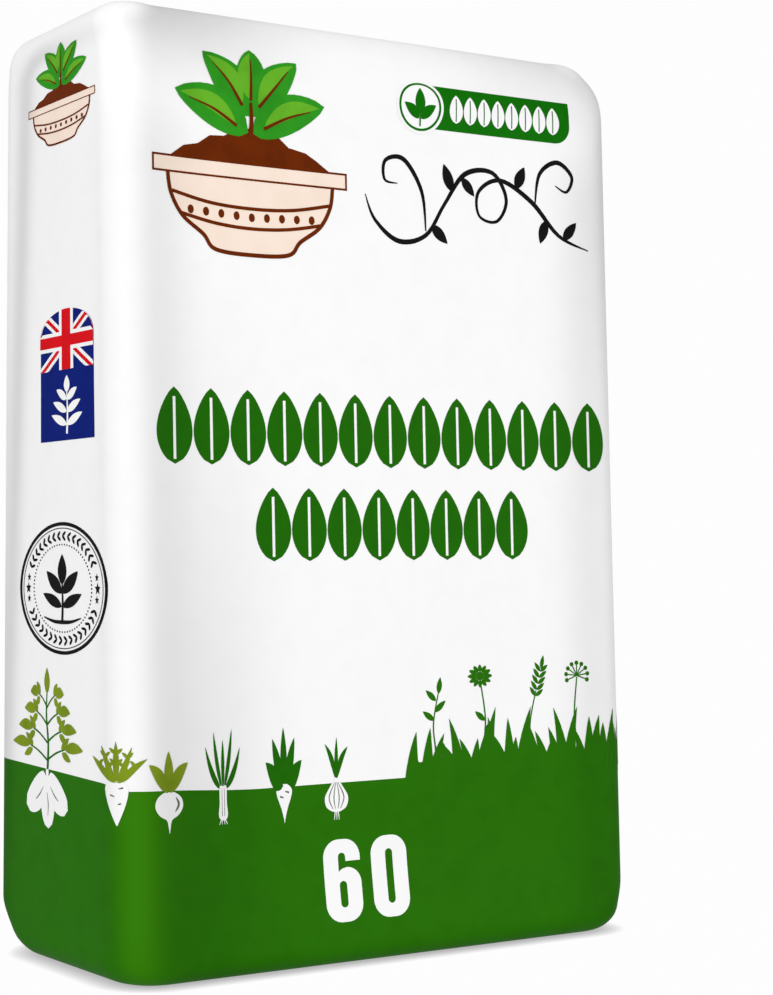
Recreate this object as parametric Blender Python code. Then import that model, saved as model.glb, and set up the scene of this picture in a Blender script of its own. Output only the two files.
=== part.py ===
"""A filled sack of compost, standing upright: one soft block of film and fill.

Frame: the front of the sack faces -Y, its width runs along X and +Z is up. The origin is on the
floor, under the middle of the sack.
"""
import math

import bmesh
import bpy

# Driving dimensions, in metres
WIDTH = 0.428
DEPTH = 0.230
HEIGHT = 0.665

FACE_LEAN = 0.0185          # the front and the back each come in by this much, foot to top

FRONT_EDGE_RADIUS = 0.026   # the two upright edges at the front, seen from above
FRONT_EDGE_TOP = 0.044      # their radius at the top
FRONT_EDGE_FOOT = 0.039     # and at the base
BACK_EDGE_RADIUS = 0.037    # the two upright edges at the back
BACK_EDGE_TOP = 0.042
BACK_EDGE_FOOT = 0.076
TOP_EASE = 0.046            # height over which the edges change their radius, below the top
FOOT_EASE = 0.040           # and above the base

FACE_ROLL_RISE = 0.059      # the roll from the front or the back in to the top
FACE_ROLL_INSET = 0.041
SIDE_ROLL_RISE = 0.022      # the roll from a side in to the top
SIDE_ROLL_INSET = 0.024
FOOT_ROLL_RISE = 0.0165     # the roll from the walls in to the base
FOOT_ROLL_INSET = 0.021

FACE_DISH = 0.0080          # how deep the front and the back lie behind their upright edges
FRONT_BEAD_WIDTH = 0.013    # from the side of the sack to the crest of an edge at the front
BACK_BEAD_WIDTH = 0.027     # and at the back
DISH_FALL = 0.042           # how fast a face falls away behind the crest
CREST_SOFTNESS = 0.35       # how round the crest is, as a share of that fall
DISH_END_FADE = 0.090       # the dish runs out over this height, at the base and at the top

TOP_HOLLOW = 0.0060         # the top sinks this much inside its roll
HOLLOW_SLOPE = 0.030        # width of the slope into the hollow
SEAM_WIDTH = 0.030          # the welded end seam, folded flat along the top
SEAM_RISE = 0.0030          # how far it stands up from the film under it
SEAM_SHOULDER = 0.0050      # width of its sloping edges
SEAM_END_GAP = 0.062        # from the end of the seam to the side of the sack

# How finely the block is scored, before it is softened
ROLL_STEPS = 4
UPRIGHT_PITCH = 0.055
ACROSS_PITCH = 0.065
DISH_STEPS = (1.05, 1.7, 2.6)

HALF_WIDTH = WIDTH / 2
HALF_DEPTH = DEPTH / 2
HAIR = 0.00001              # a point this close to a plane lies on it


def clamp(value, low, high):
    return max(low, min(high, value))


def ease(value, start, end):
    """Rises smoothly from 0 at start to 1 at end."""
    share = clamp((value - start) / (end - start), 0.0, 1.0)
    return share * share * (3.0 - 2.0 * share)


def between(low, high, share):
    return low + (high - low) * share


def roll_stations(edge, roll):
    """Score lines along a roll that ends at the block's own edge, evenly spaced around it."""
    angles = [math.radians(45.0) * step / ROLL_STEPS for step in range(ROLL_STEPS)]
    return [edge - roll + roll * math.tan(angle) for angle in angles]


def even_stations(low, high, pitch):
    """Score lines between two others, evenly spaced and no further apart than pitch."""
    count = math.ceil((high - low) / pitch)
    return [between(low, high, step / count) for step in range(1, count)]


def mirrored(stations):
    return [-station for station in stations] + stations


def width_stations():
    """The block's score lines along X: the edges, the fall behind their crests, the middle."""
    edges = roll_stations(HALF_WIDTH, FRONT_EDGE_RADIUS) + roll_stations(HALF_WIDTH, BACK_EDGE_RADIUS)
    fall = [HALF_WIDTH - FRONT_BEAD_WIDTH - DISH_FALL * step for step in DISH_STEPS]
    return mirrored(edges + fall) + even_stations(-fall[-1], fall[-1], ACROSS_PITCH)


def depth_stations():
    """The score lines along Y: the edges, the slope of the hollow and the end seam."""
    edges = roll_stations(HALF_DEPTH, FRONT_EDGE_RADIUS) + roll_stations(HALF_DEPTH, BACK_EDGE_RADIUS)
    slope = [HALF_DEPTH - FACE_ROLL_INSET - HOLLOW_SLOPE * share for share in (0.3, 0.9)]
    seam = [SEAM_WIDTH / 2 - SEAM_SHOULDER, SEAM_WIDTH / 2]
    return mirrored(edges + slope + seam) + [0.0]


def height_stations():
    """The score lines along Z: the roll of the base, the wall, and the two rolls of the top."""
    foot = [HEIGHT - station for station in roll_stations(HEIGHT, FOOT_ROLL_RISE)]
    top = roll_stations(HEIGHT, FACE_ROLL_RISE) + roll_stations(HEIGHT, SIDE_ROLL_RISE)
    wall = even_stations(FOOT_EASE, HEIGHT - TOP_EASE, UPRIGHT_PITCH)
    return foot + [FOOT_EASE] + wall + [HEIGHT - TOP_EASE] + top


def edge_radius(y, z):
    """Radius of the upright edge nearest to a point, seen from above."""
    top = ease(z, HEIGHT - TOP_EASE, HEIGHT)
    foot = 1.0 - ease(z, 0.0, FOOT_EASE)
    front = between(between(FRONT_EDGE_RADIUS, FRONT_EDGE_TOP, top), FRONT_EDGE_FOOT, foot)
    back = between(between(BACK_EDGE_RADIUS, BACK_EDGE_TOP, top), BACK_EDGE_FOOT, foot)
    return between(front, back, ease(y, -HALF_DEPTH, HALF_DEPTH))


def roll_point(wall, cap, rise, inset):
    """How far in and how far along a roll a point lies.

    wall and cap are its shares of the way up the wall and out over the end, of which one is 1.
    """
    length = math.hypot(wall, cap)
    return inset * (1.0 - cap / length), rise * wall / length


def soften(x, y, z):
    """Takes a point of the sharp block to its place on the soft one."""
    radius = edge_radius(y, z)
    core_x = clamp(x, radius - HALF_WIDTH, HALF_WIDTH - radius)
    core_y = clamp(y, radius - HALF_DEPTH, HALF_DEPTH - radius)
    arm_x, arm_y = x - core_x, y - core_y
    length = math.hypot(arm_x, arm_y)
    if length == 0.0:
        return x, y, z
    to_side, to_face = (arm_x / length) ** 2, (arm_y / length) ** 2
    reach = max(abs(arm_x), abs(arm_y))
    top_rise = SIDE_ROLL_RISE * to_side + FACE_ROLL_RISE * to_face
    top_inset = SIDE_ROLL_INSET * to_side + FACE_ROLL_INSET * to_face
    if z > HEIGHT - top_rise:
        cap = 1.0 - clamp((radius - reach) / top_inset, 0.0, 1.0)
        inset, along = roll_point((z - HEIGHT + top_rise) / top_rise, cap, top_rise, top_inset)
        z = HEIGHT - top_rise + along
    elif z < FOOT_ROLL_RISE:
        cap = 1.0 - clamp((radius - reach) / FOOT_ROLL_INSET, 0.0, 1.0)
        inset, along = roll_point((FOOT_ROLL_RISE - z) / FOOT_ROLL_RISE, cap, FOOT_ROLL_RISE, FOOT_ROLL_INSET)
        z = FOOT_ROLL_RISE - along
    else:
        cap, inset = 1.0, 0.0
    if cap > 0.0:
        reach = radius - inset
    return core_x + arm_x / length * reach, core_y + arm_y / length * reach, z


def face_dish(x, y, z):
    """Depth of the front or the back behind its upright edges, on the side of the sack that y is on."""
    bead_width = FRONT_BEAD_WIDTH if y < 0.0 else BACK_BEAD_WIDTH
    behind = max(HALF_WIDTH - bead_width - abs(x), 0.0) / DISH_FALL
    fall = 1.0 - math.exp(-behind * behind / (CREST_SOFTNESS + behind))
    near_face = ease(abs(y), 0.0, HALF_DEPTH - FRONT_EDGE_RADIUS)
    return FACE_DISH * fall * near_face * ease(z, 0.0, DISH_END_FADE) * ease(HEIGHT - z, 0.0, DISH_END_FADE)


def top_hollow(x, y):
    """Depth of the top inside its roll, less the end seam that stands on it."""
    from_face, from_side = HALF_DEPTH - abs(y), HALF_WIDTH - abs(x)
    hollow = ease(from_face, FACE_ROLL_INSET, FACE_ROLL_INSET + HOLLOW_SLOPE)
    hollow *= ease(from_side, SIDE_ROLL_INSET, SIDE_ROLL_INSET + HOLLOW_SLOPE)
    seam = 1.0 - ease(abs(y), SEAM_WIDTH / 2 - SEAM_SHOULDER, SEAM_WIDTH / 2)
    seam *= ease(from_side, SEAM_END_GAP - SEAM_SHOULDER, SEAM_END_GAP)
    return TOP_HOLLOW * hollow - SEAM_RISE * seam


def shape_point(x, y, z):
    """The finished place of a point of the sharp block."""
    dish = math.copysign(face_dish(x, y, z), y)
    sunk = top_hollow(x, y) if z > HEIGHT - HAIR else 0.0
    soft_x, soft_y, soft_z = soften(x, y, z)
    soft_y = (soft_y - dish) * (1.0 - FACE_LEAN / HALF_DEPTH * soft_z / HEIGHT)
    return soft_x, soft_y, soft_z - sunk


def film_material():
    """Matt white polythene film."""
    material = bpy.data.materials.new("white_film")
    material.use_nodes = True
    shader = material.node_tree.nodes["Principled BSDF"]
    shader.inputs["Base Color"].default_value = (0.84, 0.84, 0.83, 1.0)
    shader.inputs["Roughness"].default_value = 0.45
    shader.inputs["Metallic"].default_value = 0.0
    return material


def make_bag(collection):
    """The filled sack: a block, scored where it bends, each point then moved to its soft place."""
    mesh = bmesh.new()
    bmesh.ops.create_cube(mesh, size=1.0)
    bmesh.ops.scale(mesh, vec=(WIDTH, DEPTH, HEIGHT), verts=mesh.verts)
    bmesh.ops.translate(mesh, vec=(0.0, 0.0, HEIGHT / 2), verts=mesh.verts)
    for axis, stations in enumerate((width_stations(), depth_stations(), height_stations())):
        normal = [0.0, 0.0, 0.0]
        normal[axis] = 1.0
        for station in stations:
            point = [station * share for share in normal]
            everything = mesh.verts[:] + mesh.edges[:] + mesh.faces[:]
            bmesh.ops.bisect_plane(mesh, geom=everything, dist=HAIR, plane_co=point, plane_no=normal)
    for vertex in mesh.verts:
        vertex.co = shape_point(*vertex.co)
    data = bpy.data.meshes.new("bag")
    mesh.to_mesh(data)
    mesh.free()
    data.shade_smooth()
    bag = bpy.data.objects.new("bag", data)
    bag.data.materials.append(film_material())
    collection.objects.link(bag)
    return bag


def main():
    for thing in list(bpy.data.objects):
        bpy.data.objects.remove(thing, do_unlink=True)
    collection = bpy.data.collections.new("compost_bag")
    bpy.context.scene.collection.children.link(collection)
    make_bag(collection)


main()
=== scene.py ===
import math

import bmesh
import bpy
from mathutils import Matrix, Vector
from mathutils.geometry import tessellate_polygon


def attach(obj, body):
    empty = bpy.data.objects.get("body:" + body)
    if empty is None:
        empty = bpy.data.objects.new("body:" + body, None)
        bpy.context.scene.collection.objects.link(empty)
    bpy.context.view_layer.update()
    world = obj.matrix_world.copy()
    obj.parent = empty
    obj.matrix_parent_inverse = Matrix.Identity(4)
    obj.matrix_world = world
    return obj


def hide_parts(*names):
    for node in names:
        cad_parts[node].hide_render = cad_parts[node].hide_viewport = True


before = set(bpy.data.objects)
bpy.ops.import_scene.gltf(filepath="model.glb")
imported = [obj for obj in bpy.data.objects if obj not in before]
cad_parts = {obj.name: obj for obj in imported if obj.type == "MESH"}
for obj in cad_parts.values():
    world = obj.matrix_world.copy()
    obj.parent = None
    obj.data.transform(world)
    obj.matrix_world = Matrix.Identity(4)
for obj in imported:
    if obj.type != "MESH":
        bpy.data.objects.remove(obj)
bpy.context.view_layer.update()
scene = bpy.context.scene

# The camera stands a little under half the height of the sack and looks at the upright edge between
# its left side and its front, so that both are seen.
CAMERA_PLACE = (-0.8592, -1.4000, 0.2856)
CAMERA_YAW = math.radians(33.4611)
CAMERA_PITCH = math.radians(1.5012)
CAMERA_ROLL = math.radians(-0.3989)

camera_data = bpy.data.cameras.new("camera")
camera_data.lens = 79.05
camera_data.sensor_width = 36.0
camera = bpy.data.objects.new("camera", camera_data)
yaw_turn = Matrix.Rotation(-CAMERA_YAW, 4, "Z")
pitch_turn = Matrix.Rotation(math.radians(90.0) + CAMERA_PITCH, 4, "X")
roll_turn = Matrix.Rotation(CAMERA_ROLL, 4, "Z")
camera.matrix_world = Matrix.Translation(CAMERA_PLACE) @ yaw_turn @ pitch_turn @ roll_turn
scene.collection.objects.link(camera)
scene.camera = camera


# The studio: a seamless white floor that shows only the soft shadow where the sack stands, a white
# surround, tall soft lights to the left, in front and behind, a fill at the right, a weak one above.
class Wire:
    """One socket of a node tree. Arithmetic on wires adds the Math nodes that work it out."""

    def __init__(self, socket):
        self.socket = socket

    def math(self, operation, *others):
        sockets = dict(enumerate((self,) + others))
        return Graph(self.socket.id_data).add("ShaderNodeMath", {"operation": operation}, sockets)

    def __add__(self, other):
        return self.math("ADD", other)

    def __sub__(self, other):
        return self.math("SUBTRACT", other)

    def __rsub__(self, other):
        return self.math("MULTIPLY_ADD", -1.0, other)

    def __mul__(self, other):
        return self.math("MULTIPLY", other)

    def __truediv__(self, other):
        return self.math("DIVIDE", other)

    def __pow__(self, other):
        return self.math("POWER", other)

    def __neg__(self):
        return self.math("MULTIPLY", -1.0)

    def __abs__(self):
        return self.math("ABSOLUTE")

    def __lt__(self, other):
        return self.math("LESS_THAN", other)

    def __gt__(self, other):
        return self.math("GREATER_THAN", other)

    __radd__ = __add__
    __rmul__ = __mul__


class Graph:
    """A node tree that is being wired up."""

    def __init__(self, tree):
        self.tree = tree

    def add(self, kind, settings=None, sockets=None, output=0):
        """Adds a node, sets it up, fills its sockets with values or wires, and gives one output."""
        node = self.tree.nodes.new(kind)
        for name, value in (settings or {}).items():
            setattr(node, name, value)
        for name, value in (sockets or {}).items():
            if isinstance(value, Wire):
                self.tree.links.new(value.socket, node.inputs[name])
            else:
                node.inputs[name].default_value = value
        return Wire(node.outputs[output]) if len(node.outputs) else node


WHITE = (1.0, 1.0, 1.0, 1.0)
FLOOR_SIZE = 40.0
STUDIO_WHITE = 0.985        # how bright the floor and the surround look
AMBIENT = 0.56              # how much light comes from all around
SHADOW_REACH = 0.013        # how far from the sack its contact shadow is seen
SHADOW_DEPTH = 0.55

floor_material = bpy.data.materials.new("white_paper_floor")
floor_material.use_nodes = True
floor_graph = Graph(floor_material.node_tree)
floor_material.node_tree.nodes.clear()
openness = floor_graph.add("ShaderNodeAmbientOcclusion", {"samples": 16}, {"Distance": SHADOW_REACH}, "AO")
grain = floor_graph.add("ShaderNodeTexNoise", {}, {"Scale": 240.0, "Detail": 3.0})
floor_light = (1.0 - (1.0 - openness) * SHADOW_DEPTH) * STUDIO_WHITE + (grain - 0.5) * 0.004
floor_glow = floor_graph.add("ShaderNodeEmission", {}, {"Color": floor_light})
floor_graph.add("ShaderNodeOutputMaterial", {}, {"Surface": floor_glow})

floor_mesh = bmesh.new()
bmesh.ops.create_grid(floor_mesh, x_segments=8, y_segments=8, size=FLOOR_SIZE / 2)
floor_data = bpy.data.meshes.new("floor")
floor_mesh.to_mesh(floor_data)
floor_mesh.free()
floor_data.materials.append(floor_material)
floor = bpy.data.objects.new("floor", floor_data)
floor.visible_diffuse = False
floor.visible_glossy = False
floor.visible_shadow = False
scene.collection.objects.link(floor)

surround = bpy.data.worlds.new("white_surround")
surround.use_nodes = True
surround_graph = Graph(surround.node_tree)
surround.node_tree.nodes.clear()
looked_at = surround_graph.add("ShaderNodeLightPath", {}, {}, "Is Camera Ray")
surround_light = AMBIENT + looked_at * (STUDIO_WHITE - AMBIENT)
surround_glow = surround_graph.add("ShaderNodeBackground", {}, {"Color": WHITE, "Strength": surround_light})
surround_graph.add("ShaderNodeOutputWorld", {}, {"Surface": surround_glow})
scene.world = surround
scene.view_settings.view_transform = "Standard"


LIT_HEIGHT = 0.33           # the lights look at the middle of the sack


def soft_light(name, place, width, height, power, aim=(0.0, 0.0, LIT_HEIGHT)):
    """A soft box on a stand, turned to the point that it lights."""
    data = bpy.data.lights.new(name, "AREA")
    data.shape = "RECTANGLE"
    data.size = width
    data.size_y = height
    data.energy = power
    light = bpy.data.objects.new(name, data)
    facing = (Vector(aim) - Vector(place)).to_track_quat("-Z", "Y").to_matrix().to_4x4()
    light.matrix_world = Matrix.Translation(place) @ facing
    scene.collection.objects.link(light)


soft_light("key_light", (-2.15, -1.24, 0.50), 0.6, 1.4, 23.0)
soft_light("side_light", (-2.20, 0.30, 0.50), 0.6, 1.2, 3.0)
soft_light("front_light", (-0.95, -2.35, 0.70), 0.8, 1.2, 15.5)
soft_light("right_fill", (1.70, -1.90, 0.60), 0.9, 1.0, 15.5)
soft_light("back_light", (0.80, 2.40, 0.70), 0.9, 1.2, 14.0)
soft_light("top_light", (-0.10, 0.10, 1.60), 1.0, 0.6, 2.4, (0.0, 0.0, 0.50))


# The sack: one sleeve of white polythene, lapped and welded down the back, filled, and welded across
# at both ends. The fill presses it into a soft block with a dished front and back.
bag_sizes = {
    "Width": 0.428,
    "Depth": 0.230,
    "Height": 0.665,
    "Face Lean": 0.0185,
    "Front Edge": 0.026,
    "Front Edge Top": 0.044,
    "Front Edge Foot": 0.039,
    "Back Edge": 0.037,
    "Back Edge Top": 0.042,
    "Back Edge Foot": 0.076,
    "Top Ease": 0.046,
    "Foot Ease": 0.040,
    "Face Roll Rise": 0.059,
    "Face Roll Inset": 0.041,
    "Side Roll Rise": 0.022,
    "Side Roll Inset": 0.024,
    "Foot Roll Rise": 0.0165,
    "Foot Roll Inset": 0.021,
    "Face Dish": 0.0080,
    "Front Bead": 0.013,
    "Back Bead": 0.027,
    "Dish Fall": 0.042,
    "Crest Softness": 0.35,
    "Dish End Fade": 0.090,
    "Top Hollow": 0.0060,
    "Hollow Slope": 0.030,
    "Seam Width": 0.030,
    "Seam Rise": 0.0030,
    "Seam Shoulder": 0.0050,
    "Seam End Gap": 0.062,
}
HALF_WIDTH = bag_sizes["Width"] / 2
HALF_DEPTH = bag_sizes["Depth"] / 2
HAIR = 0.00001              # a point this close to the top lies on it


def ease(value, start, end):
    """Rises smoothly from 0 at start to 1 at end."""
    smooth = {"interpolation_type": "SMOOTHSTEP"}
    sockets = {"Value": value, "From Min": start, "From Max": end}
    return Graph(value.socket.id_data).add("ShaderNodeMapRange", smooth, sockets)


def between(low, high, share):
    return low + (high - low) * share


def most(value, other):
    return value.math("MAXIMUM", other)


def least(value, other):
    return value.math("MINIMUM", other)


def distance(one, other):
    return (one * one + other * other) ** 0.5


def new_tree(name, entries):
    """Starts a tree with its named inputs, each a number or a kind of socket, and gives their wires."""
    graph = Graph(bpy.data.node_groups.new(name, "GeometryNodeTree"))
    kinds = {float: "NodeSocketFloat", int: "NodeSocketInt"}
    for entry, value in entries.items():
        kind = kinds.get(type(value), value)
        socket = graph.tree.interface.new_socket(entry, in_out="INPUT", socket_type=kind)
        if type(value) in kinds:
            socket.default_value = value
    node = graph.tree.nodes.new("NodeGroupInput")
    return graph, {entry: Wire(node.outputs[entry]) for entry in entries}


def end_tree(graph, name, wire):
    """Gives a tree its one output."""
    kind = {"Point": "NodeSocketVector", "Geometry": "NodeSocketGeometry"}[name]
    graph.tree.interface.new_socket(name, in_out="OUTPUT", socket_type=kind)
    graph.add("NodeGroupOutput", {}, {0: wire})
    return graph.tree


def split(wire):
    """The three coordinates of a point."""
    graph = Graph(wire.socket.id_data)
    node = graph.add("ShaderNodeSeparateXYZ", {}, {0: wire}).socket.node
    return [Wire(output) for output in node.outputs]


def joined(graph, x, y, z):
    return graph.add("ShaderNodeCombineXYZ", {}, {"X": x, "Y": y, "Z": z})


def moved(graph, geometry, place):
    return graph.add("GeometryNodeSetPosition", {}, {"Geometry": geometry, "Position": place})


def realized(graph, geometry):
    return graph.add("GeometryNodeRealizeInstances", {}, {"Geometry": geometry})


def stored(graph, geometry, name, value, domain="POINT"):
    """Keeps a number at each point or face under a name, to be read further on."""
    sockets = {"Geometry": geometry, "Name": name, "Value": value}
    return graph.add("GeometryNodeStoreNamedAttribute", {"data_type": "FLOAT", "domain": domain}, sockets)


def read(graph, name):
    return graph.add("GeometryNodeInputNamedAttribute", {"data_type": "FLOAT"}, {"Name": name})


def forgotten(graph, geometry, *names):
    """Takes off numbers that were stored."""
    for name in names:
        geometry = graph.add("GeometryNodeRemoveAttribute", {}, {"Geometry": geometry, "Name": name})
    return geometry


def grid_points(graph):
    """The three coordinates of each point that a step works on."""
    return split(graph.add("GeometryNodeInputPosition"))


def soft_block_tree():
    """Takes a point of the sharp block to its place on the filled sack."""
    graph, size = new_tree("soft_block", {"Point": "NodeSocketVector", **bag_sizes})
    x, y, z = split(size["Point"])
    half_width = size["Width"] / 2.0
    half_depth = size["Depth"] / 2.0
    height = size["Height"]

    top = ease(z, height - size["Top Ease"], height)
    foot = 1.0 - ease(z, 0, size["Foot Ease"])
    edges = []
    for edge in ("Front Edge", "Back Edge"):
        above = between(size[edge], size[edge + " Top"], top)
        edges.append(between(above, size[edge + " Foot"], foot))
    radius = between(*edges, ease(y, -half_depth, half_depth))

    core_x = least(most(x, radius - half_width), half_width - radius)
    core_y = least(most(y, radius - half_depth), half_depth - radius)
    arm_x = x - core_x
    arm_y = y - core_y
    arm = distance(arm_x, arm_y)
    to_side = (arm_x / arm) * (arm_x / arm)
    to_face = (arm_y / arm) * (arm_y / arm)
    reach = most(abs(arm_x), abs(arm_y))

    at_top = z > height / 2.0
    top_rise = size["Side Roll Rise"] * to_side + size["Face Roll Rise"] * to_face
    top_inset = size["Side Roll Inset"] * to_side + size["Face Roll Inset"] * to_face
    rise = between(size["Foot Roll Rise"], top_rise, at_top)
    roll_inset = between(size["Foot Roll Inset"], top_inset, at_top)
    from_end = least(z, height - z)
    wall = 1.0 - least(from_end / rise, 1)
    cap = 1.0 - least(most((radius - reach) / roll_inset, 0), 1)
    roll = distance(wall, cap)
    inset = roll_inset * (1.0 - cap / roll)
    from_end = most(from_end, rise) - rise * wall / roll
    reach = between(reach, radius - inset, cap > 0)
    soft_x = core_x + arm_x / arm * reach
    soft_y = core_y + arm_y / arm * reach
    soft_z = between(from_end, height - from_end, at_top)

    bead = between(size["Back Bead"], size["Front Bead"], y < 0)
    behind = most(half_width - bead - abs(x), 0) / size["Dish Fall"]
    fall = 1.0 - (-(behind * behind) / (size["Crest Softness"] + behind)).math("EXPONENT")
    ends = ease(z, 0, size["Dish End Fade"]) * ease(height - z, 0, size["Dish End Fade"])
    dish = size["Face Dish"] * fall * ends * ease(abs(y), 0, half_depth - size["Front Edge"])
    soft_y = soft_y - dish * y.math("SIGN")
    soft_y = soft_y * (1.0 - size["Face Lean"] / half_depth * soft_z / height)

    from_face = half_depth - abs(y)
    from_side = half_width - abs(x)
    hollow = ease(from_face, size["Face Roll Inset"], size["Face Roll Inset"] + size["Hollow Slope"])
    hollow = hollow * ease(from_side, size["Side Roll Inset"], size["Side Roll Inset"] + size["Hollow Slope"])
    half_seam = size["Seam Width"] / 2.0
    seam = 1.0 - ease(abs(y), half_seam - size["Seam Shoulder"], half_seam)
    seam = seam * ease(from_side, size["Seam End Gap"] - size["Seam Shoulder"], size["Seam End Gap"])
    sunk = (size["Top Hollow"] * hollow - size["Seam Rise"] * seam) * (z > height - HAIR)
    return end_tree(graph, "Point", joined(graph, soft_x, soft_y, soft_z - sunk))


soft_block = soft_block_tree()

SCORES = (106, 60, 167)     # points along the width, the depth and the height of the sack
FIELD_ROW = 32              # the row of faces that ends at the top of the printed field
FIELD_TOP_BACK = 0.1410     # height of the printed field on the back, and at the back of the sides
FIELD_BEND = 0.060          # the rows bend to the field's edge over this height


def film_tree():
    """The film: a scored block, its rows bent to the edge of the print, each point moved to the sack."""
    graph, size = new_tree("film_sleeve", {
        "Width": bag_sizes["Width"],
        "Depth": bag_sizes["Depth"],
        "Height": bag_sizes["Height"],
        "Field Top Front": 0.1267,
        "Field Top Edge": 0.1310,   # at the left end of the front
        "Field Top Side": 0.1340,   # at the front end of the sides
        "Field Top Back": FIELD_TOP_BACK,
        "Film": "NodeSocketMaterial",
        "Field Ink": "NodeSocketMaterial",
    })
    block = joined(graph, size["Width"], size["Depth"], size["Height"])
    counts = {"Size": block, "Vertices X": SCORES[0], "Vertices Y": SCORES[1], "Vertices Z": SCORES[2]}
    sheet = graph.add("GeometryNodeMeshCube", {}, counts)
    x, y, even_z = grid_points(graph)
    even_z = even_z + size["Height"] / 2.0
    sheet = stored(graph, sheet, "even height", even_z, "FACE")

    field_row = size["Height"] * (FIELD_ROW / (SCORES[2] - 1))
    from_corner = ease(x, -HALF_WIDTH + 0.01, -HALF_WIDTH + 0.11)
    front_top = between(size["Field Top Edge"], size["Field Top Front"], from_corner)
    side_top = between(size["Field Top Side"], size["Field Top Back"], y / size["Depth"] + 0.5)
    field_top = between(front_top, side_top, ease(y, -HALF_DEPTH, -HALF_DEPTH + 0.035))
    near_field = 1.0 - ease(abs(even_z - field_row), 0, FIELD_BEND)
    bent_z = even_z + (field_top - field_row) * near_field
    point = joined(graph, x, y, bent_z)
    soft = graph.add("GeometryNodeGroup", {"node_tree": soft_block}, {"Point": point})
    sheet = graph.add("GeometryNodeSetShadeSmooth", {}, {"Geometry": moved(graph, sheet, soft)})
    whole = {"Geometry": realized(graph, sheet), "Material": size["Film"]}
    sheet = graph.add("GeometryNodeSetMaterial", {}, whole)
    in_field = read(graph, "even height") < field_row
    field = {"Geometry": sheet, "Selection": in_field, "Material": size["Field Ink"]}
    sheet = graph.add("GeometryNodeSetMaterial", {}, field)
    return end_tree(graph, "Geometry", forgotten(graph, sheet, "even height"))


RIB_PITCH = 0.0030          # the ribs that the welding bars press into the end seam
SEAM_WELD = 0.0125          # how far from its middle the seam has ribs
SEAM_HALF = 0.152           # half its length; outside it the tucked film slants away
TUCK_SLANT = 0.55
LAP_WIDTH = 0.032
# The streak is a band of painted shade on each side, along its back edge and over its top.
STREAK_TURN = 0.032         # the streak on a side turns the corner on this radius
STREAK_FROM_MIDDLE = 0.090  # how far behind the middle it runs, at the foot
STREAK_LEAN = 0.079         # and how much it leans forward on its way up
STREAK_HEIGHT = 0.640

# How much painted shade darkens the film at each place, how far that is from an edge, how wide
painted_shade_bands = {
    "beside edge": (0.145, 0.032, 0.025),           # on the faces, inside their upright edges
    "low face": (0.150, 0.070, 0.045),              # low on the left of the faces
    "before edge": (0.080, 0.022, 0.022),           # on the sides, before their front edge
    "right edge": (0.240, 0.006, 0.020),            # on the upper part of the right front edge
    "streak": (0.240, STREAK_TURN, 0.015),          # along the back edge and the top of the sides
    "lap edge": (0.200, LAP_WIDTH / 2, 0.0009),     # along the lap's two edges, where film ends on film
}
TOP_CORNER_PAINTED_SHADE = 0.360     # and in the top corners of the faces
TOP_CORNER_DROP = 0.075     # down to here from the top
SIDE_ROLL = bag_sizes["Side Roll Rise"]
RIGHT_CORNER_SHARE = 0.45   # but only this much of it on the right


def bell(value, middle, width):
    """1 at the middle, falling to nothing either side of it."""
    away = (value - middle) / width
    return (-(away * away)).math("EXPONENT")


def film_relief(graph, place):
    """Normal of the film: slow waves, the fine skin of blown film, the end seam's ribs and its tucks."""
    stretch_and_painted_highlight = graph.add("ShaderNodeMapping", {}, {"Vector": place, "Scale": (1.0, 1.0, 0.35)})
    waves = graph.add("ShaderNodeTexNoise", {}, {"Vector": stretch_and_painted_highlight, "Scale": 22.0, "Detail": 2.0})
    skin = graph.add("ShaderNodeTexNoise", {}, {"Vector": place, "Scale": 900.0, "Detail": 2.0})
    x, y, z = split(place)
    on_end = ease(z, 0.64, 0.655) + 1.0 - ease(z, 0.0008, 0.002)
    ribs = (y * (math.tau / RIB_PITCH)).math("COSINE")
    ribs = ribs * (abs(y) < SEAM_WELD) * (abs(x) < SEAM_HALF)
    tuck = bell(abs(x) - SEAM_HALF - abs(y) * TUCK_SLANT, 0, 0.0016) * (abs(x) > SEAM_HALF)
    height = waves * 0.9 + skin * 0.02 + on_end * (ribs * 0.30 + tuck * 0.9)
    return graph.add("ShaderNodeBump", {}, {"Height": height, "Strength": 0.35, "Distance": 0.001})


def mixed(graph, share, one, other):
    sockets = {"Factor": share, 6: one, 7: other}
    return graph.add("ShaderNodeMix", {"data_type": "RGBA"}, sockets, 2)


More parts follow.
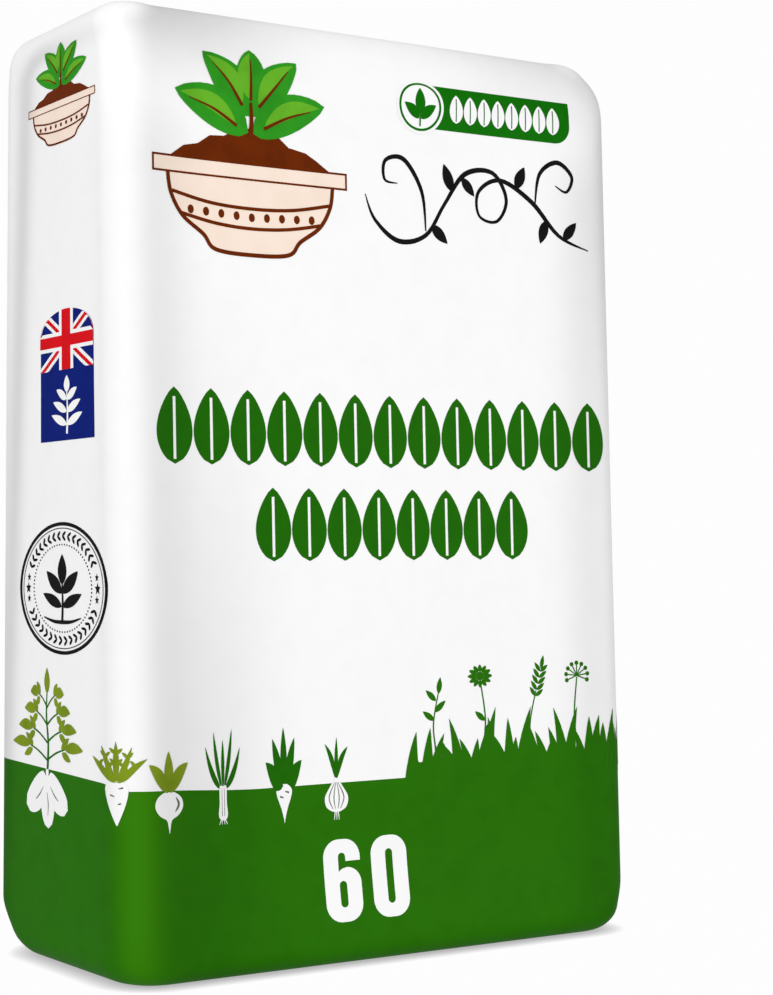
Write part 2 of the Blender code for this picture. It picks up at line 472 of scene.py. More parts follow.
def painted_shade_share(place):
    """How much painted shade darkens the film: beside its upright edges, low on the left of the faces, along
    the back edge and top of the sides, along the lap's edges and in the top corners of the faces.
    """
    x, y, z = split(place)
    from_side = HALF_WIDTH - abs(x)
    from_top = bag_sizes["Height"] - z
    on_side = ease(abs(x), HALF_WIDTH - 0.012, HALF_WIDTH - 0.001)
    on_face = 1.0 - on_side
    wall = ease(z, 0, 0.02) * ease(from_top, 0.03, 0.12)
    behind = most(y - STREAK_FROM_MIDDLE + z * STREAK_LEAN + STREAK_TURN, 0)
    above = most((z - STREAK_HEIGHT) * 1.9 + STREAK_TURN, 0)
    places = {
        "beside edge": (from_side, on_face * wall),
        "low face": (from_side, on_face * ease(0.55 - z, 0, 0.43) * (x < 0)),
        "before edge": (y + HALF_DEPTH, on_side * wall),
        "right edge": (from_side, (x > 0) * ease(z, 0.3, 0.62) * ease(-y, 0.055, 0.08)),
        "streak": (distance(behind, above), on_side * between(0.3, 1, ease(y, -0.06, 0.03))),
        "lap edge": (abs(x), y > 0.060),
    }
    on_roll = ease(SIDE_ROLL - from_top, 0, SIDE_ROLL)
    corner = ease(TOP_CORNER_DROP - from_top, 0, TOP_CORNER_DROP) * ease(0.190 - from_side, 0, 0.16)
    corner = corner * ease(from_side - on_roll * 0.016, 0.008, 0.034) * TOP_CORNER_PAINTED_SHADE
    grey = corner * (RIGHT_CORNER_SHARE + (x < 0.0) * (1.0 - RIGHT_CORNER_SHARE))
    for name, (away, share) in places.items():
        depth, middle, width = painted_shade_bands[name]
        grey = grey + bell(away, middle, width) * share * depth
    return grey


def ink_material(name, colour, darker, roughness=0.5, specular=0.02, stretch_and_painted_highlight=None):
    """A matt ink: it lies a little unevenly, is darkened by painted shade near edges and corners, and
    takes its relief.

    Given a lighter colour, a wide field of ink gets a painted highlight along the rounded left
    edge of the front.
    """
    material = bpy.data.materials.new(name)
    material.use_nodes = True
    material.node_tree.nodes.clear()
    graph = Graph(material.node_tree)
    place = graph.add("ShaderNodeTexCoord", {}, {}, "Object")
    laydown = graph.add("ShaderNodeTexNoise", {}, {"Vector": place, "Scale": 60.0, "Detail": 4.0})
    share = ease(laydown, 0.35, 0.75)
    tint = mixed(graph, share, (*colour, 1.0), (*darker, 1.0))
    # Painted highlight: a wide field of ink is mixed towards a lighter colour along the rounded left edge of
    # the front.
    if stretch_and_painted_highlight:
        x, y, _ = split(place)
        round_edge = x + HALF_WIDTH - HALF_DEPTH - y
        tint = mixed(graph, bell(round_edge, 0.006, 0.022) * (y < 0), tint, (*stretch_and_painted_highlight, 1))
    # Painted shade: the colour is mixed towards black along the edges, the sides' streak, the lap's edges and
    # the top corners.
    tint = mixed(graph, painted_shade_share(place), tint, (0.0, 0.0, 0.0, 1.0))
    gloss = graph.add("ShaderNodeTexNoise", {}, {"Vector": place, "Scale": 35.0, "Detail": 3.0})
    sockets = {
        "Base Color": tint,
        "Roughness": roughness - 0.06 + gloss * 0.12,
        "Specular IOR Level": specular,
        "Normal": film_relief(graph, place),
    }
    shader = graph.add("ShaderNodeBsdfPrincipled", {}, sockets)
    graph.add("ShaderNodeOutputMaterial", {}, {"Surface": shader})
    return material


FILM_WHITE = ((0.845, 0.845, 0.845), (0.83, 0.83, 0.83), 0.48, 0.09)
white_film = ink_material("white_film", *FILM_WHITE)
# The field's lighter green is a painted highlight along the rounded left edge of the front.
field_green = ink_material("field_green_ink", (0.0185, 0.140, 0.0015), (0.0165, 0.130, 0.0012),
                           stretch_and_painted_highlight=(0.0310, 0.184, 0.0020))


def grown(name, tree, values, flat=None):
    """A piece that a tree makes, from flat artwork if it asks for it, kept as a plain mesh."""
    piece = bpy.data.objects.new(name, flat or bpy.data.meshes.new(name))
    modifier = piece.modifiers.new(tree.name, "NODES")
    modifier.node_group = tree
    for entry in tree.interface.items_tree:
        if entry.item_type == "SOCKET" and entry.name in values:
            modifier[entry.identifier] = values[entry.name]
    scene.collection.objects.link(piece)
    bpy.context.view_layer.update()
    seen = piece.evaluated_get(bpy.context.evaluated_depsgraph_get())
    mesh = bpy.data.meshes.new_from_object(seen)
    piece.modifiers.clear()
    piece.data = mesh
    mesh.name = name
    return piece


film = grown("film_sleeve", film_tree(), {"Film": white_film, "Field Ink": field_green})
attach(film, "root")
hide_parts("bag")


# The ink: each colour is printed flat on the sleeve before it is filled, so it is drawn on the flat
# sleeve here, with u round the sack from the middle of its front and v up it, and bent with the film.
CUT_PITCH = 0.004           # the flat shapes are cut this small, so that they follow the film
INK_LIFT = 0.00012          # each layer of ink lies this far above the one before
SHAPE_LIFT = 0.000014       # and each shape of one ink a little above the one before, where they overlap,
SHAPE_LEVELS = 8            # in turns of so many


def lay_on_sack(graph, flat, size):
    """Ends a tree: bends its flat artwork round the sack, lifts it off the film, gives it its ink."""
    u, v, over = grid_points(graph)
    half_width = size["Width"] / 2.0
    on_side = least(most(abs(u) - half_width, 0), size["Depth"])
    on_back = most(abs(u) - half_width - size["Depth"], 0)
    block_x = (least(abs(u), half_width) - on_back) * u.math("SIGN")
    block_y = on_side - size["Depth"] / 2.0
    point = joined(graph, block_x, block_y, v)
    soft = graph.add("GeometryNodeGroup", {"node_tree": soft_block}, {"Point": point})
    laid = moved(graph, stored(graph, flat, "over", over), soft)
    outward = graph.add("GeometryNodeInputNormal")
    height = size["Layer"] * INK_LIFT + read(graph, "over")
    lift = graph.add("ShaderNodeVectorMath", {"operation": "SCALE"}, {0: outward, "Scale": height})
    laid = graph.add("GeometryNodeSetPosition", {}, {"Geometry": laid, "Offset": lift})
    laid = graph.add("GeometryNodeSetShadeSmooth", {}, {"Geometry": forgotten(graph, laid, "over")})
    inked = {"Geometry": realized(graph, laid), "Material": size["Ink"]}
    return end_tree(graph, "Geometry", graph.add("GeometryNodeSetMaterial", {}, inked))


SACK_INPUTS = {
    "Width": bag_sizes["Width"],
    "Depth": bag_sizes["Depth"],
    "Layer": 1.0,
    "Ink": "NodeSocketMaterial",
}
graph, size = new_tree("ink_on_film", {"Artwork": "NodeSocketGeometry", **SACK_INPUTS})
ink_on_film = lay_on_sack(graph, size["Artwork"], size)


def print_piece(name, tree, values, flat=None):
    piece = grown(name, tree, values, flat)
    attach(piece, "root")


def smooth_path(points, steps=6, closed=False):
    """A line that runs smoothly through its points."""
    count = len(points)
    spans = range(count) if closed else range(count - 1)
    path = []
    for span in spans:
        around = [span - 1, span, span + 1, span + 2]
        around = [k % count if closed else max(0, min(k, count - 1)) for k in around]
        for step in range(steps):
            t = step / steps
            spot = []
            for a, b, c, d in zip(*(points[k] for k in around)):
                bend = (2 * a - 5 * b + 4 * c - d) * t * t + (3 * b - a - 3 * c + d) * t ** 3
                spot.append(0.5 * (2 * b + (c - a) * t + bend))
            path.append(tuple(spot))
    return path if closed else path + [tuple(points[-1])]


def leaf(base, tip, width, bend=0.0, fullness=0.85, steps=12):
    """Outline of a leaf from its stalk to its point."""
    reach_u, reach_v = tip[0] - base[0], tip[1] - base[1]
    length = math.hypot(reach_u, reach_v)
    left, right = [], []
    for step in range(1, steps):
        t = step / steps
        half = width / 2 * math.sin(math.pi * t ** 0.85) ** fullness
        middle = bend * 4 * t * (1 - t)
        for side, off in ((left, middle + half), (right, middle - half)):
            u = base[0] + reach_u * t - reach_v / length * off
            side.append((u, base[1] + reach_v * t + reach_u / length * off))
    return [base] + right + [tip] + left[::-1]


def oval(centre, half_width, half_height, steps=28):
    """Outline of an oval."""
    angles = [math.tau * step / steps for step in range(steps)]
    return [(centre[0] + half_width * math.cos(a), centre[1] + half_height * math.sin(a)) for a in angles]


class Artwork:
    """Flat shapes of one ink, drawn from a place on the sleeve, in millimetres or at another scale."""

    def __init__(self, place=(0.0, 0.0), scale=(0.001, 0.001)):
        self.mesh = bmesh.new()
        self.place = place
        self.scale = scale
        self.shapes = 0

    def spot(self, point, share=0.0):
        u, v = (at + size * value for at, size, value in zip(self.place, self.scale, point))
        return Vector((u, v, (self.shapes % SHAPE_LEVELS + share) * SHAPE_LIFT))

    def face(self, corners):
        one, two, three = (corner.co for corner in corners[:3])
        turn = (two - one).cross(three - one).z
        if abs(turn) > 1e-12:
            self.mesh.faces.new(corners if turn > 0.0 else corners[::-1])

    def fill(self, *rings):
        """An outline filled with ink, with holes where more outlines are given."""
        self.shapes += 1
        rings = [[self.spot(point) for point in ring] for ring in rings]
        corners = [self.mesh.verts.new(spot) for ring in rings for spot in ring]
        for triangle in tessellate_polygon(rings):
            self.face([corners[k] for k in triangle])

    def pen(self, points, widths, steps=7):
        """A pen line through its points, as wide at each as its width says."""
        self.shapes += 1
        widths = [widths] * len(points) if isinstance(widths, float) else widths
        path = smooth_path([(u, v, w) for (u, v), w in zip(points, widths)], steps)
        ends = []
        for k, (u, v, w) in enumerate(path):
            before, after = path[max(k - 1, 0)], path[min(k + 1, len(path) - 1)]
            along_u, along_v = after[0] - before[0], after[1] - before[1]
            half = w / 2 / (math.hypot(along_u, along_v) or 1.0)
            sides = ((u - along_v * half, v + along_u * half), (u + along_v * half, v - along_u * half))
            ends.append([self.mesh.verts.new(self.spot(side, k / len(path))) for side in sides])
        for (a, b), (c, d) in zip(ends, ends[1:]):
            self.face([a, b, d])
            self.face([a, d, c])

    def leaves(self, *sizes):
        """Leaves, each given by its stalk, its point, its width and its bend if it has one."""
        for size in sizes:
            self.fill(leaf(*size))

    def pens(self, *lines):
        """Pen lines, each given by its points and its widths."""
        for points, widths in lines:
            self.pen(points, widths)

    def lay(self, name, ink, layer=1.0):
        """Cuts the shapes small, bends them round the sack and prints them in an ink."""
        for axis, normal in enumerate(((1.0, 0.0, 0.0), (0.0, 1.0, 0.0))):
            places = [vertex.co[axis] for vertex in self.mesh.verts]
            first = math.ceil(min(places) / CUT_PITCH)
            for cut in range(first, math.ceil(max(places) / CUT_PITCH)):
                point = [cut * CUT_PITCH * share for share in normal]
                parts = self.mesh.verts[:] + self.mesh.edges[:] + self.mesh.faces[:]
                bmesh.ops.bisect_plane(self.mesh, geom=parts, dist=1e-6, plane_co=point, plane_no=normal)
        bmesh.ops.remove_doubles(self.mesh, verts=self.mesh.verts, dist=2e-6)
        loose = [vertex for vertex in self.mesh.verts if not vertex.link_faces]
        bmesh.ops.delete(self.mesh, geom=loose, context="VERTS")
        data = bpy.data.meshes.new(name)
        self.mesh.to_mesh(data)
        self.mesh.free()
        print_piece(name, ink_on_film, {"Layer": layer, "Ink": ink}, data)


# The lap of the sleeve: its two long edges, one over the other and welded in a flat seam that runs the
# whole height of the back, in the white and the green of the sleeve.
LAP_RISE = 0.0012
LAP_SINK = 0.0003           # its edges lie this far inside the film
LAP_FOOT = 0.024
LAP_TOP = 0.640
BACK_MIDDLE = bag_sizes["Width"] + bag_sizes["Depth"]


def unit_grid(graph, across, up):
    counts = {"Size X": 1.0, "Size Y": 1.0, "Vertices X": across, "Vertices Y": up}
    return graph.add("GeometryNodeMeshGrid", {}, counts)


def lap_tree():
    graph, size = new_tree("lap_seam", {
        "Lap Width": LAP_WIDTH,
        "Lap Rise": LAP_RISE,
        "Foot": LAP_FOOT,
        "Top": LAP_TOP,
        "Middle": BACK_MIDDLE,
        **SACK_INPUTS,
    })
    grid = unit_grid(graph, 13, 90)
    x, y, _ = grid_points(graph)
    from_edge = least(0.5 - abs(x), 0.5 - abs(y))
    rise = ease(from_edge, 0, 0.06) * size["Lap Rise"] - LAP_SINK
    up = between(size["Foot"], size["Top"], y + 0.5)
    flat = joined(graph, size["Middle"] + x * size["Lap Width"], up, rise)
    return lay_on_sack(graph, moved(graph, grid, flat), size)


lap_seam = lap_tree()
print_piece("lap_seam_white", lap_seam, {"Foot": FIELD_TOP_BACK, "Top": LAP_TOP, "Ink": white_film})
print_piece("lap_seam_green", lap_seam, {"Foot": LAP_FOOT, "Top": FIELD_TOP_BACK, "Ink": field_green})


# The emblem at the top of the front, and smaller on the left side: a bowl with a mound of soil and a
# young plant in it, printed in cream, brown and two greens.
leaf_green = ink_material("leaf_green_ink", (0.026, 0.275, 0.013), (0.020, 0.230, 0.010))
light_green = ink_material("light_green_ink", (0.120, 0.400, 0.020), (0.095, 0.340, 0.016))
brown_ink = ink_material("soil_brown_ink", (0.131, 0.0190, 0.0010), (0.105, 0.0150, 0.0010))
cream_ink = ink_material("cream_ink", (0.84, 0.700, 0.600), (0.82, 0.670, 0.560))

BOWL = [(-0.82, -0.24), (-0.79, -0.42), (-0.68, -0.6), (-0.48, -0.74), (-0.36, -0.86), (0, -0.885),
        (0.36, -0.86), (0.48, -0.74), (0.68, -0.6), (0.79, -0.42), (0.82, -0.24)]
RIM = [(-0.97, -0.25), (-0.97, -0.1), (0.97, -0.1), (0.97, -0.25)]
SOIL = [(-0.8, -0.11), (-0.66, -0.01), (-0.52, 0.02), (-0.4, 0.1), (-0.26, 0.11), (-0.14, 0.18),
        (0.02, 0.2), (0.14, 0.16), (0.28, 0.15), (0.38, 0.07), (0.55, 0.04), (0.66, -0.02), (0.8, -0.11)]
PLANT = [((-0.02, 0.16), (-0.74, 0.46), 0.34, -0.05), ((0.02, 0.16), (0.74, 0.46), 0.34, 0.05),
         ((-0.01, 0.3), (-0.46, 0.84), 0.32, -0.03), ((0.01, 0.3), (0.46, 0.84), 0.32, 0.03),
         ((0, 0.34), (0, 0.93), 0.3, 0)]


def print_emblem(name, place, scale):
    cream = Artwork(place, scale)
    cream.fill(BOWL)
    cream.fill(RIM)
    cream.lay(name + "_cream", cream_ink)
    brown = Artwork(place, scale)
    brown.fill(SOIL)
    brown.pen(BOWL, 0.036)
    brown.fill(RIM, [(0.981 * u, -0.175 + 0.76 * (v + 0.175)) for u, v in RIM])
    brown.pens(([(-0.78, -0.4), (-0.4, -0.47), (0, -0.49), (0.4, -0.47), (0.78, -0.4)], 0.03),
               ([(-0.69, -0.58), (-0.35, -0.64), (0, -0.66), (0.35, -0.64), (0.69, -0.58)], 0.03))
    for step in range(-4, 5):
        brown.fill(oval((step * 0.15, -0.565 + abs(step) * 0.006), 0.03, 0.038, 12))
    brown.lay(name + "_brown", brown_ink, 2.0)
    green = Artwork(place, scale)
    shine = Artwork(place, scale)
    ribs = Artwork(place, scale)
    ribs.pen([(0, 0.12), (0.01, 0.26), (0, 0.42)], [0.05, 0.04, 0.03])
    for base, tip, width, bend in PLANT:
        green.fill(leaf(base, tip, width, bend, 0.7))
        near = [a + (b - a) * 0.16 for a, b in zip(base, tip)]
        far = [a + (b - a) * 0.80 for a, b in zip(base, tip)]
        middle = [(a + b) / 2 for a, b in zip(near, far)]
        side = 1.0 if tip[0] < 0.0 else -1.0
        lift = (side * (tip[1] - base[1]) * bend * 1.6, abs(tip[0] - base[0]) * abs(bend) * 1.6)
        middle = (middle[0] - lift[0] * 0.4, middle[1] + lift[1] * 0.4)
        ribs.pen([near, middle, far], [0.03, 0.022, 0.008])
        end = (tip[0] * 0.93, base[1] + (tip[1] - base[1]) * 0.93)
        shine.fill(leaf(near, end, width * 0.42, side * width * -0.22))
    green.lay(name + "_leaves", leaf_green, 3.0)
    shine.lay(name + "_leaf_light", light_green, 4.0)
    ribs.lay(name + "_ribs", brown_ink, 5.0)


print_emblem("print_emblem_front", (-0.1065, 0.5650), (0.0815, 0.0815))
print_emblem("print_emblem_side", (-0.3085, 0.6075), (0.0650, 0.0385))


# The banner at the top right of the front: a green bar with one round corner, and a white disc in a
# green ring at its left end with a small sprig on it.
banner_green = ink_material("banner_green_ink", (0.0045, 0.140, 0.0012), (0.0038, 0.125, 0.0010))
print_white = ink_material("reserved_white_film", *FILM_WHITE)

BANNER_LEFT = 40.0
BANNER_RIGHT = 171.5
BANNER_FOOT = 596.5
BANNER_TOP = 630.0
BANNER_CORNER = 13.0
DISC_CENTRE = (36, 612.5)
DISC_RADIUS = 18.5


def arc(middle, half_width, half_height, start, turn, steps=10):
    """Points along part of an oval, from a start angle through a turn, in degrees."""
    angles = [math.radians(start + turn * step / steps) for step in range(steps + 1)]
    return [(middle[0] + half_width * math.cos(a), middle[1] + half_height * math.sin(a)) for a in angles]


banner = Artwork()
corner_middle = (BANNER_RIGHT - BANNER_CORNER, BANNER_FOOT + BANNER_CORNER)
corner = arc(corner_middle, BANNER_CORNER, BANNER_CORNER, 270, 90, 8)
banner.fill([(BANNER_LEFT, BANNER_FOOT)] + corner + [(BANNER_RIGHT, BANNER_TOP), (BANNER_LEFT, BANNER_TOP)])
banner.lay("print_banner", banner_green)

banner_white = Artwork()
banner_white.fill(oval(DISC_CENTRE, DISC_RADIUS + 2.2, DISC_RADIUS + 2.2, 48))
banner_white.lay("print_banner_white", print_white, 2.0)

badge = Artwork()
hole = oval(DISC_CENTRE, DISC_RADIUS * 0.9, DISC_RADIUS * 0.9, 48)
badge.fill(oval(DISC_CENTRE, DISC_RADIUS, DISC_RADIUS, 48), hole)
badge.leaves(((36, 606), (36, 626.8), 8.8),
             ((35, 603), (22.2, 614), 8, -1), ((37, 603), (49.8, 614), 8, 1))
badge.pen([(36, 597.5), (36, 607)], 1.4)
badge.lay("print_badge", banner_green, 3.0)


# The flourish under the banner: one long pen line with curls and small leaves, in black.
black_ink = ink_material("black_ink", (0.0065, 0.0065, 0.0065), (0.0045, 0.0045, 0.0045))

flourish = Artwork()
flourish.pen([(-12, 544), (-4, 526), (16, 512), (40, 518), (57, 542), (76, 566),
              (101, 569), (113, 550), (104, 533), (88, 536), (88, 554), (108, 564),
              (136, 550), (160, 526), (186, 516)],
             [0.8, 2.6, 3.8, 3.2, 2.8, 3.8, 3.4, 3, 2.4, 2.2, 2.8, 3.4, 3.8, 3, 0.8])
flourish.pen([(40, 521), (37, 550), (22, 572), (6, 570), (5, 556), (16, 554)],
             [1.2, 3, 3.6, 2.8, 2.2, 0.8])
flourish.pen([(139, 548), (144, 572), (160, 582), (173, 572), (168, 560), (158, 564)],
             [1.2, 3, 3.6, 2.8, 2.2, 0.8])
flourish.leaves(((45, 526), (59, 513), 8.5), ((64, 552), (57, 572), 9),
                ((73, 563), (84, 550), 7.5), ((122, 559), (130, 576), 9),
                ((149, 537), (143, 519), 8.5), ((164, 523), (176, 537), 8))
flourish.lay("print_flourish", black_ink)


# The two bold bands across the middle of the front: upright leaves in dark green, each split by its
# rib, in place of a title.
title_green = ink_material("title_green_ink", (0.0118, 0.124, 0.0010), (0.0105, 0.113, 0.0010))

RIB_COLUMN = 0.0455         # half the width of the grid's middle column, where the rib is
RIB_FOOT = -0.44            # the rib is open from here to here, as shares of the grid
RIB_TIP = 0.36


def leaf_band_tree():
    graph, size = new_tree("leaf_band", {
        "Count": 12,
        "Pitch": 0.031,
        "Start": 0.0,
        "Foot": 0.35,
        "Leaf Height": 0.050,
        "Leaf Width": 0.0286,
        "Rib": 0.0022,
        **SACK_INPUTS,
    })
    grid = unit_grid(graph, 12, 17)
    x, y, _ = grid_points(graph)
    removed = {"Geometry": grid, "Selection": (abs(x) < 0.02) * (y > RIB_FOOT) * (y < RIB_TIP)}
    grid = graph.add("GeometryNodeDeleteGeometry", {"domain": "FACE"}, removed)
    up = y + 0.5
    half = most((least(up ** 0.8, 1) * math.pi).math("SINE"), 0) ** 0.72 * size["Leaf Width"] / 2.0
    half_rib = size["Rib"] / 2.0
    outside = most(abs(x) - RIB_COLUMN, 0) / (0.5 - RIB_COLUMN)
    side = least(abs(x) / RIB_COLUMN, 1) * half_rib + outside * most(half - half_rib, 0)
    side = least(most(x.math("SIGN") * side, -half), half)
    grid = moved(graph, grid, joined(graph, side, up * size["Leaf Height"], 0))
    offset = joined(graph, size["Pitch"], 0, SHAPE_LIFT / 4)
    start = joined(graph, size["Start"], size["Foot"], 0)
    places = {"Count": size["Count"], "Start Location": start, "Offset": offset}
    row = graph.add("GeometryNodeMeshLine", {}, places)
    leaves = graph.add("GeometryNodeInstanceOnPoints", {}, {"Points": row, "Instance": grid})
    merged = {"Geometry": realized(graph, leaves), "Distance": 0.00002}
    return lay_on_sack(graph, graph.add("GeometryNodeMergeByDistance", {}, merged), size)


leaf_band = leaf_band_tree()
for name, count, pitch, start, foot, height in (("upper", 13, 0.0294, -0.1712, 0.3475, 0.0520),
                                                ("lower", 8, 0.0292, -0.0935, 0.2815, 0.0510)):
    values = {"Count": count, "Pitch": pitch, "Start": start, "Foot": foot, "Leaf Height": height}
    print_piece("print_band_" + name, leaf_band, {"Ink": title_green, **values})
small_leaves = {"Count": 8, "Pitch": 0.0126, "Start": 0.0680, "Foot": 0.6025, "Leaf Height": 0.0215,
                "Leaf Width": 0.0118, "Rib": 0.0010}
print_piece("print_banner_leaves", leaf_band, {"Ink": print_white, "Layer": 2.0, **small_leaves})


# The arched label on the left side: a navy field with a traditional flag of crosses in its top.
navy_ink = ink_material("navy_ink", (0.0012, 0.0105, 0.160), (0.0010, 0.0090, 0.140))
red_ink = ink_material("flag_red_ink", (0.640, 0.0030, 0.0085), (0.560, 0.0025, 0.0070))

LABEL_MIDDLE = -0.3007
LABEL_HALF = 47.2
LABEL_FOOT = 366.0
LABEL_SHOULDER = 439.0
LABEL_TOP = 457.0
FLAG_FOOT = 415.0
FLAG_MIDDLE = 435.0
SLANT_REACH = 44.0
SLANT_RISE = 20.5


def label_edge(u):
    """Height of the label's arch at a distance from its middle."""
    share = min(abs(u) / LABEL_HALF, 1)
    return LABEL_SHOULDER + (LABEL_TOP - LABEL_SHOULDER) * math.sqrt(1.0 - share * share)


def label_field():
    """Outline of the whole label."""
    tops = [LABEL_HALF * math.cos(math.pi * k / 24) for k in range(25)]
    return [(-LABEL_HALF, LABEL_FOOT), (LABEL_HALF, LABEL_FOOT)] + [(u, label_edge(u)) for u in tops]


def flag_cross(half_upright, half_level):
    """Outline of the flag's upright cross, cut off along the arch."""
    rights = [LABEL_HALF + (half_upright - LABEL_HALF) * k / 8 for k in range(9)]
    arm_top = [(u, min(FLAG_MIDDLE + half_level, label_edge(u))) for u in rights]
    head = [(u, label_edge(u)) for u in (half_upright * (1.0 - k / 4) for k in range(5))]
    arm_foot = FLAG_MIDDLE - half_level
    right = [(half_upright, FLAG_FOOT), (half_upright, arm_foot), (LABEL_HALF, arm_foot)] + arm_top + head
    return right + [(-u, v) for u, v in right[-2::-1]]


def flag_slants(width, count=10):
    """The flag's four slanting arms in triangles, each from near the middle out to the label's edge."""
    length = math.hypot(SLANT_REACH, SLANT_RISE)
    triangles = []
    for side, rise in ((1, 1), (1, -1), (-1, 1), (-1, -1)):
        off_u = side * rise * SLANT_RISE / length * width / 2
        off_v = SLANT_REACH / length * width / 2
        edges = []
        for turn in (1, -1):
            edge = []
            for t in (0.28 + 0.80 * k / count for k in range(count + 1)):
                u = max(-LABEL_HALF, min(side * SLANT_REACH * t - turn * off_u, LABEL_HALF))
                v = FLAG_MIDDLE + rise * SLANT_RISE * t + turn * off_v
                edge.append((u, max(FLAG_FOOT, min(v, label_edge(u)))))
            edges.append(edge)
        one, other = edges
        for a, b, c, d in zip(one, one[1:], other, other[1:]):
            triangles += [[a, b, d], [a, d, c]]
    return triangles


for name, ink, layer, shapes in (("field", navy_ink, 1.0, [label_field()]),
                                 ("slants", print_white, 2.0, flag_slants(8.5)),
                                 ("slants_red", red_ink, 3.0, flag_slants(3.0)),
                                 ("cross", print_white, 4.0, [flag_cross(12.5, 6.5)]),
                                 ("cross_red", red_ink, 5.0, [flag_cross(7.8, 3.9)])):
    label = Artwork((LABEL_MIDDLE, 0))
    for shape in shapes:
        label.fill(shape)
    label.lay("print_label_" + name, ink, layer)

label_sprig = Artwork((LABEL_MIDDLE, 0))
label_sprig.pen([(0, 370.5), (1.2, 385), (0, 401)], [3.2, 2.6, 1.6])
for height, reach in ((379, 27), (388, 24), (396.5, 18)):
    for side in (-1, 1):
        label_sprig.fill(leaf((0, height - 2), (side * reach, height + 5.2), 6.2))
label_sprig.fill(leaf((0, 399), (0, 411), 10))
label_sprig.lay("print_label_sprig", print_white, 2.0)


# The round stamp below it: two rings, a wreath between them, a ring of dots, and a sprig in the middle,
# in black. The side's artwork is stretched along the side, so the stamp is an oval.
STAMP_PLACE = (-0.3108, 0.264)
STAMP_SCALE = (0.0752, 0.0458)
WREATH_RADIUS = 0.79        # as a share of the stamp's own, and so are the stamp's other sizes
WREATH_STEP = math.radians(8.4)


def mark_ring_tree():
    graph, size = new_tree("ring_of_marks", {
        "Count": 60,
        "Radius": 0.67,
        "Mark Length": 0.03,
        "Mark Width": 0.03,
        "Tilt": 0.0,
        "Start Angle": 0.0,
        "Step Angle": 0.1,
        "Middle U": STAMP_PLACE[0],
        "Middle V": STAMP_PLACE[1],
        "Scale U": STAMP_SCALE[0],
        "Scale V": STAMP_SCALE[1],
        **SACK_INPUTS,
    })
    fan = {"fill_type": "TRIANGLE_FAN"}
    disc = graph.add("GeometryNodeMeshCircle", fan, {"Vertices": 10, "Radius": 0.5})
    points = graph.add("GeometryNodeMeshLine", {}, {"Count": size["Count"]})
    angle = size["Start Angle"] + graph.add("GeometryNodeInputIndex") * size["Step Angle"]
    radius = size["Radius"]
    place = joined(graph, angle.math("COSINE") * radius, angle.math("SINE") * radius, 0)
    turn = joined(graph, 0, 0, angle + size["Tilt"])
    stretch = joined(graph, size["Mark Length"], size["Mark Width"], 1)
    points = moved(graph, points, place)
    marks = {"Points": points, "Instance": disc, "Rotation": turn, "Scale": stretch}
    ring = realized(graph, graph.add("GeometryNodeInstanceOnPoints", {}, marks))
    x, y, _ = grid_points(graph)
    u = x * size["Scale U"] + size["Middle U"]
    v = y * size["Scale V"] + size["Middle V"]
    return lay_on_sack(graph, moved(graph, ring, joined(graph, u, v, 0)), size)


ring_of_marks = mark_ring_tree()
dots = {"Count": 72, "Radius": 0.66, "Step Angle": math.tau / 72}
print_piece("print_stamp_dots", ring_of_marks, {"Ink": black_ink, **dots})
for name, start in (("upper", 28.0), ("lower", 208.0)):
    for side, tilt in (("in", -0.9), ("out", 0.9)):
        wreath = {"Count": 16, "Radius": WREATH_RADIUS + tilt * 0.035, "Mark Length": 0.045,
                  "Mark Width": 0.110, "Tilt": tilt * 0.9,
                  "Start Angle": math.radians(start), "Step Angle": WREATH_STEP}
        print_piece("print_stamp_wreath_%s_%s" % (name, side), ring_of_marks, {"Ink": black_ink, **wreath})

stamp = Artwork(STAMP_PLACE, STAMP_SCALE)
for outer, inner in ((1, 0.945), (0.915, 0.9)):
    stamp.fill(oval((0, 0), outer, outer, 72), oval((0, 0), inner, inner, 72))
for side in (-1, 1):
    for angle, half in ((-12, 0.055), (0, 0.08), (12, 0.055)):
        angle = math.radians(angle)
        centre = (side * WREATH_RADIUS * math.cos(angle), WREATH_RADIUS * math.sin(angle))
        star = []
        for k in range(10):
            turn = math.radians(90.0 + 36.0 * k)
            length = half if k % 2 == 0 else half * 0.45
            u = centre[0] + length * math.cos(turn) * 0.8
            star.append((u, centre[1] + length * math.sin(turn) * 1.2))
        stamp.fill(star)
stamp.pen([(0, -0.5), (0.01, -0.2), (0, 0.1)], [0.05, 0.045, 0.03])
stamp.leaves(((0, 0.05), (0, 0.52), 0.2),
             ((-0.01, -0.08), (-0.36, 0.26), 0.2), ((0.01, -0.08), (0.36, 0.26), 0.2),
             ((-0.01, -0.28), (-0.44, -0.08), 0.17), ((0.01, -0.28), (0.44, -0.08), 0.17))
ground = [(-0.42, -0.44), (-0.2, -0.5), (0, -0.51), (0.2, -0.5), (0.42, -0.44)]
stamp.pen(ground, [0.02, 0.05, 0.06, 0.05, 0.02])
stamp.lay("print_stamp", black_ink)


# The row of root crops at the edge of the field, on the left side and the left of the front: roots in
# the white of the film with fine lines, leaves in olive and in dark green.
olive_ink = ink_material("olive_leaf_ink", (0.190, 0.270, 0.013), (0.140, 0.215, 0.010))
line_ink = ink_material("fine_line_ink", (0.115, 0.130, 0.105), (0.100, 0.115, 0.090))

roots = Artwork()
root_lines = Artwork()
olive_leaves = Artwork()
dark_leaves = Artwork()


def draw_crop_at(place, scale):
    """The next crop is drawn from its neck at this place on the sleeve, at this scale."""
    for art in (roots, root_lines, olive_leaves, dark_leaves):
        art.place = place
        art.scale = scale


def both_sides(points):
    """An outline closed with its mirror image, from its top to its foot and back."""
    return smooth_path(points + [(-u, v) for u, v in points[-2:0:-1]], 4, True)


